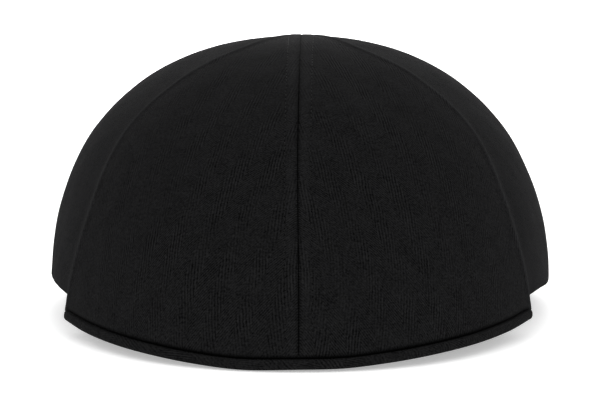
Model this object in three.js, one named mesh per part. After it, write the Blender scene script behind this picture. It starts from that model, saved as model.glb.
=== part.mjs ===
import * as THREE from 'three';

// A driver cap, lying as it is put down. Lengths are millimetres, +Z is up, the peak faces -Y,
// and +X is on the right of someone who looks at the front of the cap.

// Driving sizes of the head opening, measured outside the headband
const headLength = 206;
const headWidth = 172;

// How far the cap reaches past the head opening
const peakDepth = 47;
const sideOverhang = 13;
const backOverhang = 12;
const peakLip = 1;

// Where the crown is widest, and where its four seams meet, both behind the middle of the head opening
const widestSetback = 12;
const meetingSetback = 36;

// Heights above the surface that the cap lies on
const meetingHeight = 104;
const foreheadLift = 17;
const peakCornerLift = 5;
const sideLift = 13.8;
const rightSag = 4.5;
const underDrop = 6;

// Cloth, board and band
const clothWall = 2;
const peakThickness = 4;
const peakFlat = 5;
const bandThickness = 2;
const bandHeight = 28;
const seamGap = 0.3;

// How the crown is cut and lies: the rise of its top towards the front, the fullness of the
// front's shoulders, the height of the side panels' edge above the peak's corners and the share
// of its length over which that runs out, the rim's share of the right side's sag, the bend of
// the peak, and the depth of the soft hollows
const topRise = 0.16;
const shoulderFullness = 0.028;
const cornerNotch = 3.5;
const notchRunout = 0.3;
const rimSagShare = 0.6;
const peakBend = 1.15;
const hollowDepth = 1.5;

// Turns around the crown, in degrees from the middle of the front: the peak's corner, and the
// end of the flat that the peak rests on
const cornerTurn = 60;
const restTurn = 8;
const backTurn = THREE.MathUtils.radToDeg(Math.PI);

// The edge of the cap around its side. peakRise is a share of peakCornerLift, rimRise of
// foreheadLift, foldRise of sideLift, and sag of rightSag. leftRound and rightRound say how round
// the side panels' fold is, from 0, a sharp crease, to 1, a roll underDrop deep.
const edgeRows = [
  { turn: 0, peakRise: 0, rimRise: 1, foldRise: 1, sag: 0, leftRound: 0, rightRound: 0.3 },
  { turn: restTurn, peakRise: 0, rimRise: 1, foldRise: 1, sag: 0, leftRound: 0, rightRound: 0.3 },
  { turn: 18, peakRise: 0.2, rimRise: 0.97, foldRise: 1, sag: 0, leftRound: 0, rightRound: 0.3 },
  { turn: 36, peakRise: 0.62, rimRise: 0.88, foldRise: 1, sag: 0, leftRound: 0, rightRound: 0.3 },
  { turn: cornerTurn, peakRise: 1, rimRise: 0.7, foldRise: 1, sag: 0, leftRound: 0, rightRound: 0.3 },
  { turn: 85, peakRise: 1, rimRise: 0.48, foldRise: 1, sag: 1, leftRound: 0.1, rightRound: 0.5 },
  { turn: 125, peakRise: 1, rimRise: 0.16, foldRise: 0.99, sag: 0.6, leftRound: 0.7, rightRound: 0.8 },
  { turn: 162, peakRise: 1, rimRise: 0, foldRise: 0.93, sag: 0, leftRound: 1, rightRound: 1 },
  { turn: backTurn, peakRise: 1, rimRise: 0, foldRise: 0.93, sag: 0, leftRound: 1, rightRound: 1 },
];

// The side seam's turn on its way from the seams' meeting place, 0, to the peak's corner, 1
const sideSeamRows = [
  { along: 0, turn: 42 },
  { along: 0.2, turn: 49 },
  { along: 0.35, turn: 58.5 },
  { along: 0.55, turn: 63 },
  { along: 0.8, turn: 60 },
  { along: 1, turn: cornerTurn },
];

// The crown's curve from the place where the seams meet down to its edge, at some turns.
// topReach is the level part's share of the way out, wallReach the upright part's share of the
// height, and wallLean how far that part leans in, as a share of the height.
const crownRows = [
  { turn: 0, topReach: 0.45, wallReach: 0.38, wallLean: 0.26 },
  { turn: 30, topReach: 0.46, wallReach: 0.42, wallLean: 0.2 },
  { turn: cornerTurn, topReach: 0.52, wallReach: 0.56, wallLean: 0.06 },
  { turn: 90, topReach: 0.6, wallReach: 0.63, wallLean: 0 },
  { turn: 135, topReach: 0.59, wallReach: 0.6, wallLean: 0 },
  { turn: backTurn, topReach: 0.56, wallReach: 0.56, wallLean: 0 },
];

// The peak's rolled edge, from its underside round to its top. out is a share of peakLip, up of
// peakThickness.
const lipRows = [
  { out: -0.5, up: 0 },
  { out: 0.6, up: 0.14 },
  { out: 1, up: 0.42 },
  { out: 0.85, up: 0.72 },
  { out: 0.25, up: 0.94 },
  { out: -1, up: 1 },
];

// Soft hollows that the cloth has where it lies. along runs from the seams' meeting place, 0,
// to the edge, 1. The spreads are shares of the half circle and of the way along, and depth is
// a share of hollowDepth.
const hollows = [
  { turn: 14, along: 0.66, turnSpread: 0.07, alongSpread: 0.1, depth: 1 },
  { turn: -52, along: 0.8, turnSpread: 0.06, alongSpread: 0.12, depth: 0.8 },
  { turn: 50, along: 0.82, turnSpread: 0.06, alongSpread: 0.12, depth: 0.6 },
];

// Fineness of the curved surfaces
const frontColumns = 11;
const frontRowsDown = 20;
const sideColumns = 24;
const sideRowsDown = 18;
const underRows = 4;
const peakColumns = 36;
const bandColumns = 72;
const firstRowShare = 0.006;
const peakRowShares = [0.33, 0.66];

// Steps over which the direction of a surface is measured: one in degrees, one in shares
const turnStep = 0.2;
const shareStep = 0.002;

// Places that follow from the sizes
const capLength = peakLip + peakDepth + headLength + backOverhang;
const crownWidth = headWidth + 2 * sideOverhang;
const headY = -capLength / 2 + peakLip + peakDepth + headLength / 2;
const widestY = headY + widestSetback;
const meetingY = headY + meetingSetback;
const frontReach = widestY + capLength / 2 - peakLip;
const backReach = capLength / 2 - widestY;

const radians = THREE.MathUtils.degToRad;
const mix = (from, to, share) => from + (to - from) * share;

// Smooth reading of a table between its rows, without overshoot: the value in column where the
// column key reads at
function readRows(rows, key, at, column) {
  const last = rows.length - 1;
  const place = Math.min(Math.max(at, rows[0][key]), rows[last][key]);
  const next = Math.max(1, rows.findIndex((row) => row[key] >= place));
  const slopes = rows.map((row, index) => {
    if (index === 0 || index === last) return 0;
    const before = (row[column] - rows[index - 1][column]) / (row[key] - rows[index - 1][key]);
    const after = (rows[index + 1][column] - row[column]) / (rows[index + 1][key] - row[key]);
    return before * after > 0 ? (2 * before * after) / (before + after) : 0;
  });
  const low = rows[next - 1];
  const high = rows[next];
  const width = high[key] - low[key];
  const share = (place - low[key]) / width;
  const square = share * share;
  const cube = square * share;
  return (
    (2 * cube - 3 * square + 1) * low[column] +
    (cube - 2 * square + share) * width * slopes[next - 1] +
    (3 * square - 2 * cube) * high[column] +
    (cube - square) * width * slopes[next]
  );
}

const edgeShare = (column, turn) => readRows(edgeRows, 'turn', Math.abs(turn), column);
const crownShare = (column, turn) => readRows(crownRows, 'turn', Math.abs(turn), column);

// The crown's edge seen from above
function edgePlan(turn) {
  const angle = radians(turn);
  const forward = Math.cos(angle);
  const reach = forward > 0 ? frontReach : backReach;
  const fullness = forward > 0 ? 1 + shoulderFullness * Math.sin(2 * angle) ** 2 : 1;
  return new THREE.Vector2(
    (crownWidth / 2) * Math.sin(angle) * fullness,
    widestY - reach * forward * fullness,
  );
}

// The head opening seen from above, moved inward by inset
function rimPlan(turn, inset = 0) {
  const angle = radians(turn);
  return new THREE.Vector2(
    (headWidth / 2 - inset) * Math.sin(angle),
    headY - (headLength / 2 - inset) * Math.cos(angle),
  );
}

const sagAt = (turn) => (turn > 0 ? rightSag * edgeShare('sag', turn) : 0);
const rimHeight = (turn) => foreheadLift * edgeShare('rimRise', turn) - rimSagShare * sagAt(turn);
const peakHeight = (turn) => peakCornerLift * edgeShare('peakRise', turn);

// Height of the crown's edge: on top of the peak in front, and at the fold of the side panels
function edgeHeight(turn) {
  const onPeak = peakHeight(turn) + peakThickness + seamGap;
  const behind = (Math.abs(turn) - cornerTurn) / (90 - cornerTurn);
  const fold = sideLift * edgeShare('foldRise', turn) - sagAt(turn);
  return mix(onPeak, fold, THREE.MathUtils.smoothstep(behind, 0, 1));
}

// A point of the smooth crown. along is 0 where the seams meet and 1 at the edge.
function smoothCrown(turn, along) {
  const edge = edgePlan(turn);
  const bottom = edgeHeight(turn);
  const meeting = new THREE.Vector2(0, meetingY);
  const outward = edge.clone().sub(meeting);
  const height = meetingHeight - bottom;
  const nearTop = meeting.clone().addScaledVector(outward, crownShare('topReach', turn));
  const inset = height * crownShare('wallLean', turn);
  const nearEdge = edge.clone().addScaledVector(outward.normalize(), -inset);
  const wall = height * crownShare('wallReach', turn);
  const curve = new THREE.CubicBezierCurve3(
    new THREE.Vector3(meeting.x, meeting.y, meetingHeight),
    new THREE.Vector3(nearTop.x, nearTop.y, meetingHeight + topRise * (meetingY - nearTop.y)),
    new THREE.Vector3(nearEdge.x, nearEdge.y, bottom + wall),
    new THREE.Vector3(edge.x, edge.y, bottom),
  );
  return curve.getPoint(along);
}

// The outward direction of a surface that is given as a function of two values
function outwardNormal(surface, first, second, firstStep, secondStep) {
  const across = surface(first + firstStep, second).sub(surface(first - firstStep, second));
  const down = surface(first, second + secondStep).sub(surface(first, second - secondStep));
  return down.cross(across).normalize();
}

// The crown with its soft hollows
function crownPoint(turn, along) {
  const depth = hollows.reduce((sum, hollow) => {
    const aside = (turn - hollow.turn) / (hollow.turnSpread * backTurn);
    const below = (along - hollow.along) / hollow.alongSpread;
    return sum + hollow.depth * hollowDepth * Math.exp(-aside * aside - below * below);
  }, 0);
  const normal = outwardNormal(smoothCrown, turn, along, turnStep, shareStep);
  return smoothCrown(turn, along).addScaledVector(normal, -depth);
}

const sideSeamTurn = (along) => readRows(sideSeamRows, 'along', along, 'turn');

// The part of a turn that half a seam's gap takes at a point of the crown
function gapTurn(turn, along) {
  const before = smoothCrown(turn - turnStep, along);
  const length = smoothCrown(turn + turnStep, along).distanceTo(before);
  return (seamGap * turnStep) / length;
}

// A closed wall from an outer and an inner grid of points, turned so that its faces point out
function wallGeometry(columns, rows, outerPoint, innerPoint) {
  const positions = [];
  const addGrid = (point) => {
    for (let row = 0; row <= rows; row += 1) {
      for (let column = 0; column <= columns; column += 1) {
        positions.push(...point(column / columns, row).toArray());
      }
    }
  };
  addGrid(outerPoint);
  addGrid(innerPoint);
  const inside = (columns + 1) * (rows + 1);
  const at = (column, row) => row * (columns + 1) + column;
  const faces = [];
  const quad = (a, b, c, d) => faces.push(a, b, c, a, c, d);
  for (let row = 0; row < rows; row += 1) {
    for (let column = 0; column < columns; column += 1) {
      const corners = [
        at(column, row),
        at(column, row + 1),
        at(column + 1, row + 1),
        at(column + 1, row),
      ];
      quad(...corners);
      quad(...corners.map((corner) => corner + inside).reverse());
    }
  }
  const border = [];
  for (let column = 0; column < columns; column += 1) border.push(at(column, 0));
  for (let row = 0; row < rows; row += 1) border.push(at(columns, row));
  for (let column = columns; column > 0; column -= 1) border.push(at(column, rows));
  for (let row = rows; row > 0; row -= 1) border.push(at(0, row));
  border.forEach((corner, index) => {
    const next = border[(index + 1) % border.length];
    quad(corner, next, next + inside, corner + inside);
  });
  return facingOut(positions, faces);
}

// A closed body through a row of like sections. Open rows get end faces between the first and
// last points, the second and last but one, and so on.
function loftGeometry(sections, closed) {
  const positions = sections.flatMap((section) => section.flatMap((point) => point.toArray()));
  const size = sections[0].length;
  const faces = [];
  const quad = (a, b, c, d) => faces.push(a, b, c, a, c, d);
  const steps = closed ? sections.length : sections.length - 1;
  for (let step = 0; step < steps; step += 1) {
    const here = step * size;
    const there = ((step + 1) % sections.length) * size;
    for (let point = 0; point < size; point += 1) {
      const next = (point + 1) % size;
      quad(here + point, there + point, there + next, here + next);
    }
  }
  if (!closed) {
    const last = (sections.length - 1) * size;
    for (let point = 0; point < size / 2 - 1; point += 1) {
      const corners = [point, point + 1, size - 2 - point, size - 1 - point];
      quad(...corners);
      quad(...corners.map((corner) => corner + last).reverse());
    }
  }
  return facingOut(positions, faces);
}

// A geometry whose faces point out of the body, whichever way round they were listed
function facingOut(positions, faces) {
  const corner = (index) => new THREE.Vector3().fromArray(positions, 3 * faces[index]);
  let volume = 0;
  for (let face = 0; face < faces.length; face += 3) {
    volume += corner(face).dot(corner(face + 1).cross(corner(face + 2)));
  }
  const geometry = new THREE.BufferGeometry();
  geometry.setAttribute('position', new THREE.Float32BufferAttribute(positions, 3));
  geometry.setIndex(volume < 0 ? faces.reverse() : faces);
  geometry.computeVertexNormals();
  return geometry;
}

// Colours of the cloth and the band
const blackHerringbone = { color: 0x17171a, roughness: 0.93, metalness: 0 };
const blackTwillBand = { color: 0x101012, roughness: 0.88, metalness: 0 };

function piece(name, look, geometry) {
  const mesh = new THREE.Mesh(geometry, new THREE.MeshStandardMaterial(look));
  mesh.name = name;
  return mesh;
}

// A front panel: half of the top, sewn to its twin on the centre seam and to the peak's edge.
// side is 1 on the right and -1 on the left.
function frontPanel(name, side) {
  const place = (share, row) => {
    const along = mix(firstRowShare, 1, row / frontRowsDown);
    const inner = gapTurn(0, along);
    const outer = sideSeamTurn(along) - gapTurn(sideSeamTurn(along), along);
    return [side * mix(inner, outer, share), along];
  };
  const outerPoint = (share, row) => crownPoint(...place(share, row));
  const innerPoint = (share, row) => {
    const [turn, along] = place(share, row);
    const point = crownPoint(turn, along);
    const normal = outwardNormal(crownPoint, turn, along, turnStep, shareStep);
    if (row < frontRowsDown) return point.addScaledVector(normal, -clothWall);
    const level = Math.hypot(normal.x, normal.y);
    point.x -= (normal.x * clothWall) / level ** 2;
    point.y -= (normal.y * clothWall) / level ** 2;
    return point;
  };
  const geometry = wallGeometry(frontColumns, frontRowsDown, outerPoint, innerPoint);
  return piece(name, blackHerringbone, geometry);
}

// A side panel: from the side seam round to the seam at the back, folded under along its edge
// and carried in to the rim of the head opening.
function sidePanel(name, side) {
  const rows = sideRowsDown + underRows;
  const surface = (share, down) => {
    // the wall ends above the crown's edge by the notch, here as a share of the way down
    const notch = cornerNotch * (1 - THREE.MathUtils.smoothstep(share, 0, notchRunout));
    const wallEnd = 1 - notch / meetingHeight;
    const along = mix(firstRowShare, wallEnd, Math.min(down, 1));
    const seam = sideSeamTurn(along);
    const front = seam + gapTurn(seam, along);
    const back = backTurn - gapTurn(backTurn, along);
    const turn = mix(front, back, share);
    const fold = crownPoint(side * turn, along);
    if (down <= 1) return fold;
    const rim = rimPlan(side * turn);
    const bottom = rimHeight(side * turn);
    const roundness = edgeShare(side > 0 ? 'rightRound' : 'leftRound', turn);
    const roll = roundness * Math.max(underDrop, fold.z - bottom);
    const under = new THREE.QuadraticBezierCurve3(
      fold,
      new THREE.Vector3(fold.x, fold.y, fold.z - roll),
      new THREE.Vector3(rim.x, rim.y, bottom),
    );
    return under.getPoint(down - 1);
  };
  const downAt = (row) => Math.min(row / sideRowsDown, 1) + Math.max(row - sideRowsDown, 0) / underRows;
  const outerPoint = (share, row) => surface(share, downAt(row));
  // the outward direction between a row and the next
  const facing = (share, row) => {
    const middle = (downAt(row) + downAt(row + 1)) / 2;
    const half = (downAt(row + 1) - downAt(row)) / 2;
    return outwardNormal(surface, share, middle, shareStep, half).multiplyScalar(side);
  };
  const innerPoint = (share, row) => {
    const point = outerPoint(share, row);
    const above = facing(share, Math.max(row - 1, 0));
    const below = facing(share, Math.min(row, rows - 1));
    // at the rim the wall goes straight up, beside the headband
    if (row === rows) return point.setZ(point.z - clothWall / below.z);
    // at the fold it keeps its distance from both sides
    const spread = clothWall / (1 + above.dot(below));
    return point.addScaledVector(above.add(below), -spread);
  };
  return piece(name, blackHerringbone, wallGeometry(sideColumns, rows, outerPoint, innerPoint));
}

// The peak: a board in cloth with a rolled edge, which slopes up from its front to the forehead
function peak() {
  const sections = [];
  const end = cornerTurn - gapTurn(cornerTurn, 1);
  for (let column = 0; column <= peakColumns; column += 1) {
    const turn = mix(-end, end, column / peakColumns);
    const edge = edgePlan(turn);
    const rim = rimPlan(turn);
    const depth = edge.distanceTo(rim);
    const inward = rim.clone().sub(edge).normalize();
    const bottom = peakHeight(turn);
    const rise = rimHeight(turn) - bottom;
    const point = (inset, above) => {
      const share = THREE.MathUtils.clamp((inset - peakFlat) / (depth - peakFlat), 0, 1);
      const plan = edge.clone().addScaledVector(inward, inset);
      return new THREE.Vector3(plan.x, plan.y, bottom + rise * share ** peakBend + above);
    };
    const inside = peakRowShares.map((share) => mix(peakFlat, depth, share));
    sections.push([
      point(depth, 0),
      ...inside.toReversed().map((inset) => point(inset, 0)),
      point(peakFlat, 0),
      ...lipRows.map((row) => point(-row.out * peakLip, row.up * peakThickness)),
      point(peakFlat, peakThickness),
      ...inside.map((inset) => point(inset, peakThickness)),
      point(depth, peakThickness),
    ]);
  }
  return piece('peak', blackHerringbone, loftGeometry(sections, false));
}

// The headband: an upright band all round the head opening, just inside the rim
function headband() {
  const sections = [];
  for (let column = 0; column < bandColumns; column += 1) {
    const turn = mix(-backTurn, backTurn, column / bandColumns);
    const outside = rimPlan(turn, seamGap);
    const inside = rimPlan(turn, seamGap + bandThickness);
    const bottom = rimHeight(turn);
    const corner = (plan, height) => new THREE.Vector3(plan.x, plan.y, height);
    sections.push([
      corner(outside, bottom),
      corner(outside, bottom + bandHeight),
      corner(inside, bottom + bandHeight),
      corner(inside, bottom),
    ]);
  }
  return piece('headband', blackTwillBand, loftGeometry(sections, true));
}

const cap = new THREE.Group();
cap.add(
  frontPanel('front_panel_left', -1),
  frontPanel('front_panel_right', 1),
  sidePanel('side_panel_left', -1),
  sidePanel('side_panel_right', 1),
  peak(),
  headband(),
);

export default cap;
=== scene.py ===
import math

import bmesh
import bpy
import numpy as np
from mathutils import Matrix, Vector, noise


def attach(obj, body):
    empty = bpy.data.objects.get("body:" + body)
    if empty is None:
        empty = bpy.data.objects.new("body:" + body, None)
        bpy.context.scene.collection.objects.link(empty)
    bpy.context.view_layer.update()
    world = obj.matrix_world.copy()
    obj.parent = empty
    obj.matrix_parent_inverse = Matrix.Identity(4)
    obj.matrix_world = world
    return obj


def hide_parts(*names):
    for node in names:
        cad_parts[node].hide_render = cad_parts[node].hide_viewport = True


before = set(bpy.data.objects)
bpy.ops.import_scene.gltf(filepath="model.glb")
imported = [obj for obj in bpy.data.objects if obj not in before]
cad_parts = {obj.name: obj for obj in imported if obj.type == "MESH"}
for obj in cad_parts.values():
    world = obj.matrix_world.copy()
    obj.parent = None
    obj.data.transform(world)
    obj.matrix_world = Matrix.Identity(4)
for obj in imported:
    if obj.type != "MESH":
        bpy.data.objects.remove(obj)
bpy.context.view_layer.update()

# The two front panels. Each is black herringbone cloth, cut so that its stripes lean to the centre
# seam and meet there in arrowheads. They are sewn to each other, to the side panels and to the
# peak, with the seam allowances turned under them, so that the cloth stands proud by each seam.
cloth_wall = 0.002
cloth_slack = 0.00025
stripe_lean = math.radians(20)
topstitch_inset = 0.0047
smoothing_levels = 3
seam_gap = 0.0003
seam_drift = 0.0013
merge_distance = 0.00001
sharp_corner = math.radians(50)
blue_tint = 1.03

# The widths of the first squares beside a seam and above the edge at the peak, where the cloth
# rolls and so needs them close together
seam_steps = [0.00018] * 5 + [0.00045] * 13
edge_steps = [0.00025] * 8 + [0.0006] * 8

# How the cloth lies along its seams, in metres: how far it stands proud and out to where, how deep
# and how wide it rolls down into the seam, and how deep the topstitching pulls it in. shade is how
# dark the painted shade in the fold is, from 0 to 1.
front_seams = {
    "inner": {
        "proud": 0.0001,
        "reach": 0.0047,
        "roll": 0.0006,
        "roll_width": 0.0005,
        "pull": 0.00015,
        "shade": 1.0,
    },
    "outer": {
        "proud": 0.0004,
        "reach": 0.0014,
        "roll": 0.0001,
        "roll_width": 0.0005,
        "pull": 0.00005,
        "shade": 0.0,
    },
    "lower": {
        "proud": 0.0,
        "reach": 0.0047,
        "roll": 0.0019,
        "roll_width": 0.0020,
        "pull": 0.0,
        "shade": 1.0,
    },
}


def outer_sheet(node_name):
    """The outer side of a piece's wall, as an open sheet of four-sided faces."""
    sheet = bmesh.new()
    sheet.from_mesh(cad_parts[node_name].data)
    bmesh.ops.remove_doubles(sheet, verts=sheet.verts, dist=merge_distance)
    wall_edges = [e for e in sheet.edges if e.calc_face_angle(0) > sharp_corner]
    bmesh.ops.split_edges(sheet, edges=wall_edges)
    islands = []
    left = set(sheet.faces)
    while left:
        island = {left.pop()}
        border = set(island)
        while border:
            border = {f for g in border for e in g.edges for f in e.link_faces} - island
            island |= border
        left -= island
        islands.append(island)
    outside = max(islands, key=lambda island: sum(f.calc_area() for f in island))
    bmesh.ops.delete(sheet, geom=[f for f in sheet.faces if f not in outside], context="FACES")
    bmesh.ops.remove_doubles(sheet, verts=sheet.verts, dist=merge_distance)
    join_squares(sheet)
    return sheet


def join_squares(sheet):
    """Joins a grid's triangles in pairs, across the one run of edges that never is a border."""
    sheet.faces.ensure_lookup_table()
    run = {edge: index for index, edge in enumerate(sheet.faces[0].edges)}
    done = {sheet.faces[0]}
    reached = [sheet.faces[0]]
    while reached:
        face = reached.pop()
        for shared in face.edges:
            for other in shared.link_faces:
                if other in done:
                    continue
                for edge in other.edges:
                    if edge != shared:
                        facing = next(e for e in face.edges if not set(e.verts) & set(edge.verts))
                        run[edge] = run[facing]
                done.add(other)
                reached.append(other)
    bordering = {run[e] for e in sheet.edges if e.is_boundary}
    diagonals = [e for e in sheet.edges if run[e] not in bordering]
    bmesh.ops.dissolve_edges(sheet, edges=diagonals, use_verts=False, use_face_split=False)


def grid_rows(sheet, rank):
    """The vertex numbers of a sheet, row by row, from the corner that ranks lowest outwards."""
    start = min((v for v in sheet.verts if len(v.link_edges) == 2), key=lambda v: rank(v.co))
    step = max((e.other_vert(start) for e in start.link_edges), key=lambda v: abs(v.co.x))
    row = [start, step]
    seen = {start, step}
    while len(row[-1].link_edges) > 2:
        ahead = [e.other_vert(row[-1]) for e in row[-1].link_edges if e.is_boundary]
        row.append(next(v for v in ahead if v not in seen))
        seen.add(row[-1])
    rows = []
    while row:
        rows.append([v.index for v in row])
        beyond = [[e.other_vert(v) for e in v.link_edges] for v in row]
        row = [v for vertices in beyond for v in vertices if v not in seen]
        seen.update(row)
    return np.array(rows)


def crease_folds(sheet, from_angle, to_angle):
    """Keeps the sharp folds of a sheet when it is rounded."""
    crease = sheet.edges.layers.float.new("crease_edge")
    for edge in sheet.edges:
        sharp = (edge.calc_face_angle(0) - from_angle) / (to_angle - from_angle)
        edge[crease] = min(max(sharp, 0), 1)


def by_the_seam(place):
    """Ranks the corner at the low end of a panel's seam on the cap's middle line first."""
    sideways_weight = 10
    return place.z + abs(place.x) * sideways_weight


def new_piece(name, sheet):
    """An object in the scene from a sheet that is no longer needed."""
    mesh = bpy.data.meshes.new(name)
    sheet.to_mesh(mesh)
    sheet.free()
    piece = bpy.data.objects.new(name, mesh)
    bpy.context.scene.collection.objects.link(piece)
    return piece


def places(piece):
    """The places of a piece's vertices, one to a row."""
    found = np.empty(len(piece.data.vertices) * 3)
    piece.data.vertices.foreach_get("co", found)
    return found.reshape(-1, 3)


def lay_flat(piece, low_end, high_end, lean):
    """Lays a sheet flat as it was cut, in metres, with the stripes upright in its cloth map.

    low_end and high_end are two vertices on its seam. The stripes lean towards that seam.
    """
    mesh = piece.data
    mesh.uv_layers.new(name="cloth")
    for other in bpy.context.selected_objects:
        other.select_set(False)
    piece.select_set(True)
    bpy.context.view_layer.objects.active = piece
    bpy.ops.object.mode_set(mode="EDIT")
    bpy.ops.mesh.select_all(action="SELECT")
    bpy.ops.uv.unwrap(method="MINIMUM_STRETCH", margin=0)
    bpy.ops.object.mode_set(mode="OBJECT")
    layer = mesh.uv_layers["cloth"]
    flat = np.empty(len(mesh.loops) * 2)
    layer.data.foreach_get("uv", flat)
    flat = flat.reshape(-1, 2)
    flat_area = 0
    for face in mesh.polygons:
        corners = flat[list(face.loop_indices)]
        ahead = np.roll(corners, -1, axis=0)
        flat_area += abs(np.sum(corners[:, 0] * ahead[:, 1] - corners[:, 1] * ahead[:, 0])) / 2
    flat *= math.sqrt(sum(face.area for face in mesh.polygons) / flat_area)
    owners = np.empty(len(mesh.loops), int)
    mesh.loops.foreach_get("vertex_index", owners)
    low, high = (flat[owners == end].mean(axis=0) for end in (low_end, high_end))
    upward = (high - low) / np.linalg.norm(high - low)
    flat -= low
    flat = np.stack([flat @ [upward[1], -upward[0]], flat @ upward], axis=1)
    if flat[:, 0].mean() > 0:
        flat[:, 0] *= -1
    cos, sin = math.cos(lean), math.sin(lean)
    flat = np.stack([flat @ [cos, -sin], flat @ [sin, cos]], axis=1)
    layer.data.foreach_set("uv", flat.ravel())


def keep_shape(piece):
    """Makes what a piece's modifiers show its own mesh."""
    seen = piece.evaluated_get(bpy.context.evaluated_depsgraph_get())
    fine = bpy.data.meshes.new_from_object(seen)
    piece.modifiers.clear()
    piece.data = fine
    fine.shade_smooth()


def smooth(piece, levels):
    """Rounds the flat faces of a sheet."""
    modifier = piece.modifiers.new("smooth", "SUBSURF")
    modifier.levels = levels
    modifier.render_levels = levels
    modifier.boundary_smooth = "PRESERVE_CORNERS"
    keep_shape(piece)


def walked_lengths(line):
    """The length walked along a line at each of its points."""
    return np.concatenate([[0], np.cumsum(np.linalg.norm(np.diff(line, axis=0), axis=1))])


def crowd(piece, lines, first_steps, last_steps):
    """Draws the points of each grid line together towards its ends, along the line."""
    mesh = piece.data
    points = places(piece)
    layer = mesh.uv_layers["cloth"]
    flat = np.empty(len(mesh.loops) * 2)
    layer.data.foreach_get("uv", flat)
    owners = np.empty(len(mesh.loops), int)
    mesh.loops.foreach_get("vertex_index", owners)
    # Three columns for the place and two for the cloth map
    values = np.zeros((len(points), 5))
    values[:, :3] = points
    values[owners, 3:] = flat.reshape(-1, 2)
    count = lines.shape[1] - 1
    near = np.array(first_steps + last_steps)
    full_length = count * near.max()
    for line in lines:
        before = values[line]
        walked = walked_lengths(before[:, :3])
        scale = min(1, walked[-1] / full_length)
        rest = (walked[-1] - near.sum() * scale) / (count - len(near))
        widths = np.full(count, rest)
        widths[: len(first_steps)] = np.array(first_steps) * scale
        if last_steps:
            widths[-len(last_steps) :] = np.array(last_steps[::-1]) * scale
        wanted = np.concatenate([[0], np.cumsum(widths)])
        for column in range(values.shape[1]):
            values[line, column] = np.interp(wanted, walked, before[:, column])
    mesh.vertices.foreach_set("co", values[:, :3].ravel())
    layer.data.foreach_set("uv", values[owners, 3:].ravel())
    mesh.update()


def distance_to(line, points):
    """The distance from each point to a line through many places."""
    out_of_reach = 1.0
    least_square = 1e-18
    nearest = np.full(len(points), out_of_reach)
    for start, end in zip(line[:-1], line[1:]):
        along = end - start
        share = np.clip((points - start) @ along / max(along @ along, least_square), 0, 1)
        beside = points - start - share[:, None] * along
        nearest = np.minimum(nearest, np.linalg.norm(beside, axis=1))
    return nearest


def smoothstep(value, low, high):
    """Rises smoothly from 0 at low to 1 at high."""
    share = np.clip((value - low) / (high - low), 0, 1)
    return share * share * (3 - 2 * share)


def ridge(away, middle, width):
    """A rounded ridge of height 1 over the distances from a seam."""
    return np.exp(-(((away - middle) / width) ** 2))


def left_sag(across):
    """How much lower the peak and the cloth by it hang in the left half of the cap."""
    depth, start, full = 0.0009, -0.005, 0.03
    return depth * smoothstep(-across, start, full)


def mesh_normals(piece):
    """The directions in which a piece's vertices face, one to a row."""
    normals = np.empty(len(piece.data.vertices) * 3)
    piece.data.vertices.foreach_get("normal", normals)
    return normals.reshape(-1, 3)


def keep_values(piece, name, values):
    """Keeps one number for each of the first vertices, for the material to read."""
    whole = np.zeros(len(piece.data.vertices))
    whole[: len(values)] = values
    piece.data.attributes.new(name, "FLOAT", "POINT").data.foreach_set("value", whole)


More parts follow.
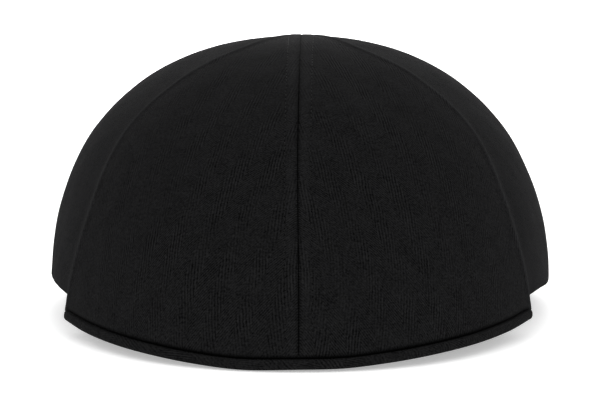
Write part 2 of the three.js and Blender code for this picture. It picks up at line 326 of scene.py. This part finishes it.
def shape_seams(piece, rows, plain, normals, seams, slack):
    """Rolls the cloth's outer side into its seams, lifts it beside them and gives it some slack."""
    # Lengths in metres, and shares and angles' sines from 0 to 1
    fade_before, fade_after = -0.001, 0.0015
    dent_width = 0.0007
    crown_heights, crown_flattening = (0.085, 0.1), 0.6
    dark_roll, shade_curve = 0.0006, 0.7
    wide_waves, fine_waves = 38, 90
    facing_down_range, underside_shade = (0.0, 0.4), 0.8
    centre_highlight, side_highlight, highlight_fade_above = 0.2, 0.8, 0.6
    direction_step, closing_steps, closing_share = 3, 8, 0.47
    tick_width = 0.0014
    lines = {"inner": rows[:, 0], "outer": rows[:, -1], "lower": rows[0]}
    aways = {side: distance_to(plain[lines[side]], plain) for side in lines}
    lift = np.zeros(len(plain))
    sink = np.zeros(len(plain))
    shade = np.zeros(len(plain))
    for side, seam in seams.items():
        away = aways[side]
        flat_part = smoothstep(away, seam["reach"] + fade_before, seam["reach"] + fade_after)
        lift += seam["proud"] * (1 - flat_part)
        lift -= seam["pull"] * ridge(away, topstitch_inset, dent_width)
        inside = np.clip(1 - away / seam["roll_width"], 0, 1)
        roll = seam["roll"] * (1 - np.sqrt(1 - inside**2))
        if side == "lower":
            roll *= smoothstep(aways["outer"], low=0.0006, high=0.006)
        elif "lower" in seams:
            roll *= smoothstep(aways["lower"], low=0.0005, high=0.004)
            roll *= 1 - crown_flattening * smoothstep(plain[:, 2], *crown_heights)
        sink = np.maximum(sink, roll)
        # Painted shade: the deeper the cloth rolls into a seam, the darker its colour there
        roll_shade = np.clip(roll / dark_roll, 0, 1) ** shade_curve
        shade = np.maximum(shade, seam["shade"] * roll_shade)
    for index, point in enumerate(plain):
        wide, fine = (noise.noise(Vector(point) * waves) for waves in (wide_waves, fine_waves))
        lift[index] += slack * wide + slack / 2 * fine
    # Painted highlight: the cloth is coloured lighter along the raised edge by the outer seam and,
    # on the front panels, beside the centre seam; on the side panels it fades upwards
    if "lower" in seams:
        ridge_highlight = ridge(aways["outer"], middle=0.0005, width=0.0009)
        ridge_highlight += centre_highlight * ridge(aways["inner"], middle=0.0026, width=0.0018)
    else:
        less_above = 1 - highlight_fade_above * smoothstep(plain[:, 2], low=0.04, high=0.08)
        ridge_highlight = side_highlight * less_above * ridge(aways["outer"], middle=0, width=0.002)
        # Painted shade: the side panels are coloured darker where they face downwards, under their
        # fold at the rim
        shade = np.maximum(shade, underside_shade * smoothstep(-normals[:, 2], *facing_down_range))
    points = places(piece)
    points[: len(plain)] += normals * (lift - sink)[:, None]
    # Draws the cloth's edges together over the gap that the solids keep
    for order in (rows, rows[:, ::-1]):
        toward = plain[order[:, 0]] - plain[order[:, direction_step]]
        toward /= np.linalg.norm(toward, axis=1)[:, None]
        for step in range(closing_steps):
            less_inside = (1 - step / closing_steps) ** 2
            points[order[:, step]] += toward * seam_gap * closing_share * less_inside
    piece.data.vertices.foreach_set("co", points.ravel())
    keep_values(piece, "painted_shade", shade)
    keep_values(piece, "ridge_highlight", ridge_highlight)
    walk = np.zeros(len(plain))
    walk[rows] = walked_lengths(plain[rows[:, 0]])[:, None]
    keep_values(piece, "seam_walk", walk)
    keep_values(piece, "seam_near", np.clip(1 - aways["inner"] / tick_width, 0, 1))
    piece.data.update()


def give_wall(piece, thickness):
    """Gives a sheet its thickness, inward. The outer side's vertices stay first."""
    wall = piece.modifiers.new("wall", "SOLIDIFY")
    wall.thickness = thickness
    wall.offset = -1
    keep_shape(piece)


def math_node(tree, operation, *values):
    """A Math node on numbers and other nodes' outputs; returns its output."""
    node = tree.nodes.new("ShaderNodeMath")
    node.operation = operation
    for socket, value in zip(node.inputs, values):
        if isinstance(value, bpy.types.NodeSocket):
            tree.links.new(value, socket)
        else:
            socket.default_value = value
    return node.outputs[0]


def noise_node(tree, scale, detail, vector):
    """A Noise Texture node at a place in metres; returns its output, from 0 to 1."""
    node = tree.nodes.new("ShaderNodeTexNoise")
    node.inputs["Scale"].default_value = scale
    node.inputs["Detail"].default_value = detail
    tree.links.new(vector, node.inputs["Vector"])
    return node.outputs["Fac"]


def ribs(tree, across, along, angle, pitch):
    """Ribs that stand at an angle to the stripes, as a wave from 0 to 1."""
    turn = 2 * math.pi / pitch
    first = math_node(tree, "MULTIPLY", across, turn * math.cos(angle))
    both = math_node(tree, "MULTIPLY_ADD", along, -turn * math.sin(angle), first)
    return math_node(tree, "MULTIPLY_ADD", math_node(tree, "SINE", both), 0.5, 0.5)


def attribute(tree, name):
    """One of the values that keep_values gives a piece; returns the node's output."""
    node = tree.nodes.new("ShaderNodeAttribute")
    node.attribute_name = name
    return node.outputs["Fac"]


def herringbone(name, pale, sheen):
    """Black herringbone cloth on a piece's cloth map: stripes of steep and of shallow ribs.

    pale is the grey of the crests of its yarns, and sheen is how much it shines at grazing angles.
    """
    stripe_pair = 0.0115
    stripe_border = 0.15
    stripe_drift, stripe_jitter = 0.0014, 0.0005
    steep = {"angle": math.radians(-13), "pitch": 0.0011}
    shallow = {"angle": math.radians(30), "pitch": 0.00085}
    rib_curve, rib_middle = 0.7, 0.6
    least_clarity, more_clarity = -0.3, 1.7
    yarn_relief, relief_depth, relief_strength = 1.1, 0.0002, 0.9
    rib_shade, yarn_shade, patch_shade, highlight_lift = 0.6, 1.3, 0.3, 0.55
    shade_shift, dark_up_to = -0.22, 0.15
    seam_stitch, stitch_shade = 0.00115, 0.35
    dark = (0.0008, 0.0008, 0.0009, 1)
    light = (pale, pale, pale * blue_tint, 1)
    painted_seam_shade = (0.0004, 0.0004, 0.0004, 1)
    # The scale and the detail of each kind of unevenness
    grain = {
        "drift": (70, 2),
        "jitter": (700, 1),
        "yarn": (1300, 3),
        "patch": (160, 3),
        "clarity": (60, 2),
    }
    material = bpy.data.materials.new(name)
    material.use_nodes = True
    tree = material.node_tree
    shader = tree.nodes["Principled BSDF"]
    cloth_map = tree.nodes.new("ShaderNodeUVMap")
    cloth_map.uv_map = "cloth"
    split = tree.nodes.new("ShaderNodeSeparateXYZ")
    tree.links.new(cloth_map.outputs["UV"], split.inputs[0])
    place = tree.nodes.new("ShaderNodeTexCoord").outputs["Object"]
    drift = math_node(tree, "SUBTRACT", noise_node(tree, *grain["drift"], place), 0.5)
    jitter = math_node(tree, "SUBTRACT", noise_node(tree, *grain["jitter"], place), 0.5)
    across = math_node(tree, "MULTIPLY_ADD", drift, stripe_drift, split.outputs["X"])
    across = math_node(tree, "MULTIPLY_ADD", jitter, stripe_jitter, across)
    along = split.outputs["Y"]
    stripe_turn = math_node(tree, "MULTIPLY", across, 2 * math.pi / stripe_pair)
    wave = math_node(tree, "SINE", stripe_turn)
    in_steep = tree.nodes.new("ShaderNodeMapRange")
    in_steep.interpolation_type = "SMOOTHSTEP"
    in_steep.inputs["From Min"].default_value = -stripe_border
    in_steep.inputs["From Max"].default_value = stripe_border
    tree.links.new(wave, in_steep.inputs["Value"])
    chosen = in_steep.outputs["Result"]
    other = math_node(tree, "SUBTRACT", 1.0, chosen)
    steep_ribs = math_node(tree, "POWER", ribs(tree, across, along, **steep), rib_curve)
    shallow_ribs = math_node(tree, "POWER", ribs(tree, across, along, **shallow), rib_curve)
    steep_part = math_node(tree, "MULTIPLY", steep_ribs, chosen)
    weave = math_node(tree, "MULTIPLY_ADD", shallow_ribs, other, steep_part)
    yarn = noise_node(tree, *grain["yarn"], place)
    patch = noise_node(tree, *grain["patch"], place)
    clear = noise_node(tree, *grain["clarity"], place)
    clarity = math_node(tree, "MULTIPLY_ADD", clear, more_clarity, least_clarity)
    relief = math_node(tree, "MULTIPLY", math_node(tree, "SUBTRACT", weave, rib_middle), clarity)
    height = math_node(tree, "MULTIPLY_ADD", yarn, yarn_relief, relief)
    bump = tree.nodes.new("ShaderNodeBump")
    bump.inputs["Distance"].default_value = relief_depth
    bump.inputs["Strength"].default_value = relief_strength
    tree.links.new(height, bump.inputs["Height"])
    tree.links.new(bump.outputs["Normal"], shader.inputs["Normal"])
    shade = math_node(tree, "MULTIPLY_ADD", relief, rib_shade, shade_shift)
    shade = math_node(tree, "MULTIPLY_ADD", yarn, yarn_shade, shade)
    shade = math_node(tree, "MULTIPLY_ADD", patch, patch_shade, shade)
    # Painted highlight along the raised cloth by the seams
    shade = math_node(tree, "MULTIPLY_ADD", attribute(tree, "ridge_highlight"), highlight_lift, shade)
    colours = tree.nodes.new("ShaderNodeValToRGB")
    colours.color_ramp.elements[0].position = dark_up_to
    colours.color_ramp.elements[0].color = dark
    colours.color_ramp.elements[1].position = 1.0
    colours.color_ramp.elements[1].color = light
    tree.links.new(shade, colours.inputs["Fac"])
    ticks = math_node(tree, "MULTIPLY", attribute(tree, "seam_walk"), 2 * math.pi / seam_stitch)
    ticks = math_node(tree, "SINE", ticks)
    ticks = math_node(tree, "MULTIPLY_ADD", ticks, stitch_shade, stitch_shade)
    ticks = math_node(tree, "MULTIPLY", ticks, attribute(tree, "seam_near"))
    shadow = tree.nodes.new("ShaderNodeMix")
    shadow.data_type = "RGBA"
    # Painted shade in the seams' folds and where the side panels face down, with the ladder of
    # ticks by the centre seam, mixed towards near-black
    depth = math_node(tree, "MAXIMUM", ticks, attribute(tree, "painted_shade"))
    tree.links.new(depth, shadow.inputs["Factor"])
    tree.links.new(colours.outputs["Color"], shadow.inputs["A"])
    shadow.inputs["B"].default_value = painted_seam_shade
    tree.links.new(shadow.outputs["Result"], shader.inputs["Base Color"])
    shader.inputs["Roughness"].default_value = 0.95
    shader.inputs["Specular IOR Level"].default_value = 0.02
    shader.inputs["Sheen Weight"].default_value = sheen
    shader.inputs["Sheen Roughness"].default_value = 0.35
    shader.inputs["Sheen Tint"].default_value = (0.95, 0.95, 0.97, 1)
    return material


black_herringbone = herringbone("black_herringbone", pale=0.0164, sheen=0.002)


def sewn_panel(name, node_name, seams, drift, cloth):
    """A panel of cloth in the place of its solid. Returns it with its grid and its plain shape.

    drift is how far the seam on the cap's middle line runs to the right at its low end.
    """
    soft_fold, sharp_fold = math.radians(30), math.radians(70)
    drift_width, drift_heights = 0.045, (0.01, 0.08)
    sag_heights = (0.02, 0.06)
    sheet = outer_sheet(node_name)
    crease_folds(sheet, soft_fold, sharp_fold)
    sheet.verts.index_update()
    rows = grid_rows(sheet, by_the_seam)
    panel = new_piece(name, sheet)
    lay_flat(panel, rows[0, 0], rows[-1, 0], stripe_lean)
    smooth(panel, smoothing_levels)
    fine = bmesh.new()
    fine.from_mesh(panel.data)
    rows = grid_rows(fine, by_the_seam)
    fine.free()
    crowd(panel, rows, seam_steps, seam_steps)
    if "lower" in seams:
        crowd(panel, rows.T, edge_steps, [])
    plain = places(panel)
    beside = 1 - smoothstep(np.abs(plain[:, 0]), 0, drift_width)
    plain[:, 0] += drift * beside * (1 - smoothstep(plain[:, 2], *drift_heights))
    if "lower" in seams:
        plain[:, 2] -= left_sag(plain[:, 0]) * (1 - smoothstep(plain[:, 2], *sag_heights))
    panel.data.vertices.foreach_set("co", plain.ravel())
    panel.data.update()
    normals = mesh_normals(panel)
    give_wall(panel, cloth_wall)
    shape_seams(panel, rows, plain, normals, seams, cloth_slack)
    panel.data.set_sharp_from_angle(angle=sharp_corner)
    panel.data.materials.append(cloth)
    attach(panel, "root")
    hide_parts(node_name)
    return {"piece": panel, "rows": rows, "plain": plain, "normals": normals}


front_panels = {
    side: sewn_panel(
        f"front_cloth_{side}", f"front_panel_{side}", front_seams, seam_drift, black_herringbone
    )
    for side in ("left", "right")
}

# The two side panels. The same cloth runs round the side to a seam at the back, and is turned
# under along its lower edge to the rim of the head opening. Its nap lies the other way there, so
# that it shines more at grazing angles and looks a little paler. Its colour is darker than the
# front panels', painted shade.
shaded_herringbone = herringbone("shaded_herringbone", pale=0.0140, sheen=0.006)
side_seams = {
    "inner": {
        "proud": 0.0002,
        "reach": 0.0047,
        "roll": 0.0007,
        "roll_width": 0.0006,
        "pull": 0.0,
        "shade": 1.0,
    },
    "outer": {
        "proud": 0.0,
        "reach": 0.0047,
        "roll": 0.0001,
        "roll_width": 0.0010,
        "pull": 0.0,
        "shade": 0.0,
    },
}
side_panels = {
    side: sewn_panel(f"side_cloth_{side}", f"side_panel_{side}", side_seams, 0, shaded_herringbone)
    for side in ("left", "right")
}

# The topstitching. One row of black thread runs beside each seam of a front panel, through the
# cloth and the allowance under it, about 3 mm from one stitch to the next.
stitch_pitch = 0.0028
stitch_length = 0.0019
stitch_unevenness = 0.05
thread_width = 0.0003
thread_flatness = 0.4
needle_hole = 0.00027
hole_narrowness, hole_depth = 0.8, 0.25
sunk_least, sunk_most = -0.1, 0.35
row_end = 0.0035


def inset_line(panel, seam, inset):
    """The line on a panel that keeps an even distance from one of its seams, and its normals."""
    rows, plain = panel["rows"], panel["plain"]
    points = places(panel["piece"])
    lower_edge = plain[rows[0]]
    line, outward = [], []
    for row in rows if seam == 0 else rows[:, ::-1]:
        away = distance_to(plain[rows[:, seam]], plain[row])
        beyond = np.nonzero(away > inset)[0]
        if len(beyond) == 0:
            continue
        low, high = row[beyond[0] - 1], row[beyond[0]]
        share = (inset - away[beyond[0] - 1]) / (away[beyond[0]] - away[beyond[0] - 1])
        spot = plain[low] * (1 - share) + plain[high] * share
        if distance_to(lower_edge, spot[None])[0] > row_end:
            line.append(points[low] * (1 - share) + points[high] * share)
            outward.append(panel["normals"][low] * (1 - share) + panel["normals"][high] * share)
    return np.array(line), np.array(outward)


def even_steps(line, pitch):
    """Places an even distance apart on a line, each as a place in the line's own count."""
    walked = walked_lengths(line)
    wanted = np.arange(pitch, walked[-1] - pitch / 2, pitch)
    return np.interp(wanted, walked, np.arange(len(line)))


def between(values, place):
    """A value at a place in a line's own count, which may lie between two of its points."""
    low = int(place)
    high = min(low + 1, len(values) - 1)
    return values[low] + (values[high] - values[low]) * (place - low)


def stitch_row(strands, shaded_holes, line, normals, rng):
    """Adds a row of stitches along a line: strands, and painted shade in needle holes between them
    if asked.
    """
    beside = 0.2
    for place in even_steps(line, stitch_pitch):
        centre = between(line, place)
        upward = Vector(between(normals, place)).normalized()
        before = between(line, max(place - beside, 0))
        after = between(line, min(place + beside, len(line) - 1))
        ahead = Vector(after - before)
        ahead = (ahead - upward * ahead.dot(upward)).normalized()
        aside = upward.cross(ahead)
        slant = rng.normal(0, stitch_unevenness)
        ahead = (ahead + aside * slant).normalized()
        aside = upward.cross(ahead)
        half = stitch_length / 2 * (1 + rng.normal(0, stitch_unevenness))
        turn = Matrix((ahead, aside, upward)).transposed().to_4x4()
        size = Matrix.Diagonal((half, thread_width / 2, thread_width * thread_flatness, 1))
        depth = thread_width * rng.uniform(sunk_least, sunk_most)
        spot = Matrix.Translation(Vector(centre) - upward * depth)
        bmesh.ops.create_uvsphere(
            strands, u_segments=8, v_segments=6, radius=1, matrix=spot @ turn @ size
        )
        if shaded_holes is None:
            continue
        # Painted shade in the needle hole: a flat dark blob half a stitch on
        size = Matrix.Diagonal(
            (needle_hole, needle_hole * hole_narrowness, needle_hole * hole_depth, 1)
        )
        spot = Matrix.Translation(Vector(centre) + ahead * stitch_pitch / 2)
        bmesh.ops.create_uvsphere(
            shaded_holes, u_segments=8, v_segments=4, radius=1, matrix=spot @ turn @ size
        )


def thread(name, dark, light, specular):
    """Black sewing thread, or the painted shade in a needle hole."""
    fibre_scale, fibre_detail = 2600, 2
    material = bpy.data.materials.new(name)
    material.use_nodes = True
    tree = material.node_tree
    shader = tree.nodes["Principled BSDF"]
    place = tree.nodes.new("ShaderNodeTexCoord").outputs["Object"]
    fibres = noise_node(tree, fibre_scale, fibre_detail, place)
    colours = tree.nodes.new("ShaderNodeValToRGB")
    colours.color_ramp.elements[0].color = (dark, dark, dark, 1)
    colours.color_ramp.elements[1].color = (light, light, light * blue_tint, 1)
    tree.links.new(fibres, colours.inputs["Fac"])
    tree.links.new(colours.outputs["Color"], shader.inputs["Base Color"])
    shader.inputs["Roughness"].default_value = 0.6
    shader.inputs["Specular IOR Level"].default_value = specular
    return material


black_thread = thread("black_thread", dark=0.004, light=0.016, specular=0.05)
# Painted shade for the needle holes
hole_shade = thread("hole_shade", dark=0.0008, light=0.003, specular=0.0)


def stitching(name, stitches, material):
    """A piece from rows of stitches, or from the painted shade in their needle holes."""
    piece = new_piece(name, stitches)
    piece.data.shade_smooth()
    piece.data.materials.append(material)
    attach(piece, "root")


rng = np.random.default_rng(4)
for side, panel in front_panels.items():
    strands, shaded_holes = bmesh.new(), bmesh.new()
    for seam, pierced in ((0, shaded_holes), (-1, None)):
        line, outward = inset_line(panel, seam, topstitch_inset)
        stitch_row(strands, pierced, line, outward, rng)
    stitching(f"topstitching_{side}", strands, black_thread)
    stitching(f"needle_hole_shade_{side}", shaded_holes, hole_shade)

# The seam tapes. Narrow strips of black twill tape cover the seam allowances inside the crown, one
# along each seam, each sewn down along both of its edges.
tape_width = 0.009
tape_thickness = 0.0006
tape_standoff = 0.0006
tape_step = 0.003
tape_columns = 7
tape_from_edge = 0.022
tape_stitch_inset = 0.0012


def sheet_through(grid, cloth_map):
    """A sheet through a grid of places, with the grid's flat lengths as its cloth map."""
    rows, columns = grid.shape[:2]
    sheet = bmesh.new()
    bmesh.ops.create_grid(sheet, x_segments=columns - 1, y_segments=rows - 1, size=1)
    layer = sheet.loops.layers.uv.new("cloth")
    for index, vert in enumerate(sheet.verts):
        row, column = divmod(index, columns)
        vert.co = grid[row, column]
        for loop in vert.link_loops:
            loop[layer].uv = cloth_map[row, column]
    return sheet


def twill_tape(name):
    """Black twill tape on a piece's cloth map, with fine slanting ribs."""
    rib_angle, rib_pitch = math.radians(40), 0.0011
    yarn_scale, yarn_detail, yarn_relief = 1800, 3, 0.7
    relief_depth = 0.00015
    relief_shade = 0.6
    dark = (0.0018, 0.0018, 0.0019, 1)
    light = (0.0105, 0.0105, 0.0110, 1)
    material = bpy.data.materials.new(name)
    material.use_nodes = True
    tree = material.node_tree
    shader = tree.nodes["Principled BSDF"]
    cloth_map = tree.nodes.new("ShaderNodeUVMap")
    cloth_map.uv_map = "cloth"
    split = tree.nodes.new("ShaderNodeSeparateXYZ")
    tree.links.new(cloth_map.outputs["UV"], split.inputs[0])
    place = tree.nodes.new("ShaderNodeTexCoord").outputs["Object"]
    rib = ribs(tree, split.outputs["X"], split.outputs["Y"], rib_angle, rib_pitch)
    yarn = noise_node(tree, yarn_scale, yarn_detail, place)
    height = math_node(tree, "MULTIPLY_ADD", yarn, yarn_relief, rib)
    bump = tree.nodes.new("ShaderNodeBump")
    bump.inputs["Distance"].default_value = relief_depth
    tree.links.new(height, bump.inputs["Height"])
    tree.links.new(bump.outputs["Normal"], shader.inputs["Normal"])
    colours = tree.nodes.new("ShaderNodeValToRGB")
    colours.color_ramp.elements[0].color = dark
    colours.color_ramp.elements[1].color = light
    tree.links.new(math_node(tree, "MULTIPLY", height, relief_shade), colours.inputs["Fac"])
    tree.links.new(colours.outputs["Color"], shader.inputs["Base Color"])
    shader.inputs["Roughness"].default_value = 0.9
    shader.inputs["Specular IOR Level"].default_value = 0.08
    return material


black_tape = twill_tape("black_twill_tape")


def seam_tape(name, panel, seam):
    """A tape inside the crown along one of a panel's seams, with its two rows of stitches."""
    beside_column = 8
    rows, normals = panel["rows"], panel["normals"]
    inside = panel["plain"] - normals * cloth_wall
    order = rows if seam == 0 else rows[:, ::-1]
    clear = distance_to(panel["plain"][rows[0]], panel["plain"][order[:, 0]]) > tape_from_edge
    wide = np.linalg.norm(inside[order[:, 0]] - inside[order[:, -1]], axis=1) > tape_width / 2
    order = order[clear & wide]
    seam_line, beside = inside[order[:, 0]], inside[order[:, beside_column]]
    outward = normals[order[:, 0]]
    steps = even_steps(seam_line, tape_step)
    offsets = np.linspace(-0.5, 0.5, tape_columns) * tape_width
    grid, flat = [], []
    for count, step in enumerate(steps):
        middle, upward = between(seam_line, step), between(outward, step)
        upward /= np.linalg.norm(upward)
        across = middle - between(beside, step)
        across -= upward * (across @ upward)
        across /= np.linalg.norm(across)
        grid.append([middle + across * offset - upward * tape_standoff for offset in offsets])
        flat.append([(offset, count * tape_step) for offset in offsets])
    grid, flat = np.array(grid), np.array(flat)
    tape = new_piece(f"{name}_tape", sheet_through(grid, flat))
    wall = tape.modifiers.new("wall", "SOLIDIFY")
    wall.thickness = tape_thickness
    wall.offset = 0
    tape.data.shade_smooth()
    tape.data.materials.append(black_tape)
    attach(tape, "root")
    stitches = bmesh.new()
    inward = np.array([-between(outward, step) for step in steps])
    share = tape_stitch_inset / tape_width * (len(offsets) - 1)
    for place in (share, len(offsets) - 1 - share):
        line = np.array([between(row, place) for row in grid]) + inward * tape_thickness / 2
        stitch_row(stitches, None, line, inward, rng)
    stitching(f"{name}_tape_stitches", stitches, black_thread)


seam_tape("centre", front_panels["left"], 0)
seam_tape("back", side_panels["left"], 0)
for side, panel in side_panels.items():
    seam_tape(f"side_{side}", panel, -1)

# The crown patch. A round piece of the same tape covers the place inside the crown where the four
# panels' points meet, over the ends of the seam tapes.
patch_radius = 0.014
patch_thickness = 0.0006
patch_depth = 0.0038
patch_segments = 32

panel_points = [panel["plain"][panel["rows"][-1, 0]] for panel in front_panels.values()]
crown_point = Vector(np.mean(panel_points, axis=0))
patch_sheet = bmesh.new()
patch_layer = patch_sheet.loops.layers.uv.new("cloth")
bmesh.ops.create_circle(
    patch_sheet, cap_ends=True, segments=patch_segments, radius=patch_radius
)
for face in patch_sheet.faces:
    for loop in face.loops:
        loop[patch_layer].uv = loop.vert.co.xy
bmesh.ops.translate(
    patch_sheet, verts=patch_sheet.verts, vec=crown_point - Vector((0, 0, patch_depth))
)
patch = new_piece("crown_patch", patch_sheet)
patch_wall = patch.modifiers.new("wall", "SOLIDIFY")
patch_wall.thickness = patch_thickness
patch.data.materials.append(black_tape)
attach(patch, "root")

# The peak. A stiff board is wrapped in the same cloth, which rolls round its front edge and is
# drawn flat over its underside. Its top is hidden under the front panels. Its ends are sewn to the
# front panels' corners.
end_reach = 0.0004
end_rise = 0.0007
end_from, end_full = 0.078, 0.088
end_rounding = 0.0015
end_segments = 4
peak_stripe_lean = math.radians(48)
peak_smoothing_levels = 2

# Columns of the peak's grid, counted from the underside's inner edge: the one under its front edge
# where the cloth map is cut, and two on the roll round that edge that the stripes are laid by
cut_column = 4
foremost_column, top_column = 6, 9


def peak_corner(place):
    """Ranks the lowest corner at the peak's left end first."""
    return place.x + place.z


peak_sheet = outer_sheet("peak")
peak_sheet.verts.index_update()
peak_rows = grid_rows(peak_sheet, peak_corner)
peak_sheet.verts.ensure_lookup_table()
underside_edge = set(peak_rows[:, cut_column])
for edge in peak_sheet.edges:
    edge.seam = {v.index for v in edge.verts} <= underside_edge
peak_cloth = new_piece("peak_cloth", peak_sheet)
middle_row = peak_rows[len(peak_rows) // 2]
lay_flat(peak_cloth, middle_row[foremost_column], middle_row[top_column], peak_stripe_lean)
smooth(peak_cloth, peak_smoothing_levels)
peak_places = places(peak_cloth)
at_the_end = smoothstep(np.abs(peak_places[:, 0]), end_from, end_full)
peak_places[:, 0] += np.sign(peak_places[:, 0]) * end_reach * at_the_end
peak_places[:, 2] += end_rise * at_the_end - left_sag(peak_places[:, 0])
peak_cloth.data.vertices.foreach_set("co", peak_places.ravel())
closed = bmesh.new()
closed.from_mesh(peak_cloth.data)
closed.verts.index_update()
fine_rows = grid_rows(closed, peak_corner)
ends = set(fine_rows[0]) | set(fine_rows[-1])
inner_edges = [
    e for e in closed.edges if e.is_boundary and not {v.index for v in e.verts} <= ends
]
bmesh.ops.bridge_loops(closed, edges=inner_edges)
end_edges = [e for e in closed.edges if e.is_boundary]
bmesh.ops.holes_fill(closed, edges=end_edges, sides=0)
bmesh.ops.recalc_face_normals(closed, faces=closed.faces)
bmesh.ops.bevel(
    closed,
    geom=end_edges,
    offset=end_rounding,
    segments=end_segments,
    profile=0.5,
    affect="EDGES",
    clamp_overlap=True,
    material=-1,
)
closed.to_mesh(peak_cloth.data)
closed.free()
peak_cloth.data.shade_smooth()
peak_cloth.data.materials.append(black_herringbone)
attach(peak_cloth, "root")
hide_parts("peak")

# The headband. A band of black twill tape stands up inside the rim, all round the head opening,
# and is sewn down just above its lower edge.
band_thickness = 0.002
band_fold_radius = 0.0008
band_fold_segments = 3
band_stitch_height = 0.003
band_line_points = 241
band_search = math.radians(7)
band_radius = 0.09

band = bmesh.new()
band.from_mesh(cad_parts["headband"].data)
bmesh.ops.remove_doubles(band, verts=band.verts, dist=merge_distance)
bmesh.ops.join_triangles(
    band, faces=band.faces, angle_face_threshold=math.pi, angle_shape_threshold=math.pi
)
band_map = band.loops.layers.uv.new("cloth")
for face in band.faces:
    behind = face.calc_center_median().x < 0
    for loop in face.loops:
        turn = math.atan2(loop.vert.co.x, -loop.vert.co.y)
        if behind and turn > math.pi / 2:
            turn -= 2 * math.pi
        loop[band_map].uv = (turn * band_radius, loop.vert.co.z)
band_tape = new_piece("band_tape", band)
rounding = band_tape.modifiers.new("folded_edges", "BEVEL")
rounding.width = band_fold_radius
rounding.segments = band_fold_segments
rounding.limit_method = "ANGLE"
band_tape.data.shade_smooth()
band_tape.data.materials.append(black_tape)
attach(band_tape, "root")
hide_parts("headband")

band_places = places(band_tape)
inner_reach = np.abs(band_places).max(axis=0)[0] - band_thickness
band_stitches = bmesh.new()
turns = np.linspace(-math.pi, math.pi, band_line_points)
band_heights = band_places[:, 2]
middle_y = (band_places[:, 1].min() + band_places[:, 1].max()) / 2
inner_length = (band_places[:, 1].max() - band_places[:, 1].min()) / 2 - band_thickness
by_turn = np.arctan2(band_places[:, 0], middle_y - band_places[:, 1])
low_edge = np.array(
    [band_heights[np.abs(by_turn - turn) < band_search].min() for turn in turns]
)
band_line = np.stack(
    [
        inner_reach * np.sin(turns),
        middle_y - inner_length * np.cos(turns),
        low_edge + band_stitch_height,
    ],
    axis=1,
)
band_inward = np.stack([-np.sin(turns), np.cos(turns), np.zeros(len(turns))], axis=1)
stitch_row(band_stitches, None, band_line, band_inward, rng)
stitching("band_stitches", band_stitches, black_thread)

# The floor, the light and the camera. The floor is a plain white table with a weak light under it,
# the light is soft and comes from large panels, and the camera looks at the cap from the front, a
# little above its middle.
floor_reach = 6
floor_height = -0.0006

floor_sheet = bmesh.new()
bmesh.ops.create_grid(floor_sheet, x_segments=1, y_segments=1, size=floor_reach)
bmesh.ops.translate(floor_sheet, verts=floor_sheet.verts, vec=(0, 0, floor_height))
floor = new_piece("floor", floor_sheet)
paper = bpy.data.materials.new("pale_paper")
paper.use_nodes = True
paper_shader = paper.node_tree.nodes["Principled BSDF"]
paper_shader.inputs["Base Color"].default_value = (0.9, 0.9, 0.9, 1)
paper_shader.inputs["Roughness"].default_value = 0.9
paper_shader.inputs["Emission Color"].default_value = (1, 1, 1, 1)
paper_shader.inputs["Emission Strength"].default_value = 0.4
floor.data.materials.append(paper)

world = bpy.data.worlds.new("studio")
world.use_nodes = True
background = world.node_tree.nodes["Background"]
background.inputs["Color"].default_value = (1, 1, 1, 1)
background.inputs["Strength"].default_value = 0.95
bpy.context.scene.world = world
bpy.context.scene.view_settings.view_transform = "Standard"

cap_middle = Vector((0, 0, 0.05))
lamps = {
    "behind": {"place": (0.0, 1.7, 0.85), "size": 1.2, "power": 19},
    "left": {"place": (-1.1, 0.9, 0.9), "size": 0.9, "power": 1.5},
    "right": {"place": (1.1, 0.9, 0.9), "size": 0.9, "power": 3},
}
for name, lamp in lamps.items():
    light = bpy.data.lights.new(name, "AREA")
    light.size = lamp["size"]
    light.energy = lamp["power"]
    panel_light = bpy.data.objects.new(name, light)
    panel_light.location = lamp["place"]
    aim = cap_middle - Vector(lamp["place"])
    panel_light.rotation_euler = aim.to_track_quat("-Z", "Y").to_euler()
    bpy.context.scene.collection.objects.link(panel_light)

camera_turn = math.radians(0.8)
camera_rise = math.radians(7.0)
camera_distance = 1.3
backward = Vector(
    (
        math.sin(camera_turn) * math.cos(camera_rise),
        -math.cos(camera_turn) * math.cos(camera_rise),
        math.sin(camera_rise),
    )
)
camera_data = bpy.data.cameras.new("camera")
camera_data.sensor_width = 36
camera_data.lens = 199.8
camera = bpy.data.objects.new("camera", camera_data)
camera.location = cap_middle + backward * camera_distance
aim_point = Vector((0, 0, 0.0427))
camera.rotation_euler = (aim_point - camera.location).to_track_quat("-Z", "Y").to_euler()
bpy.context.scene.collection.objects.link(camera)
bpy.context.scene.camera = camera
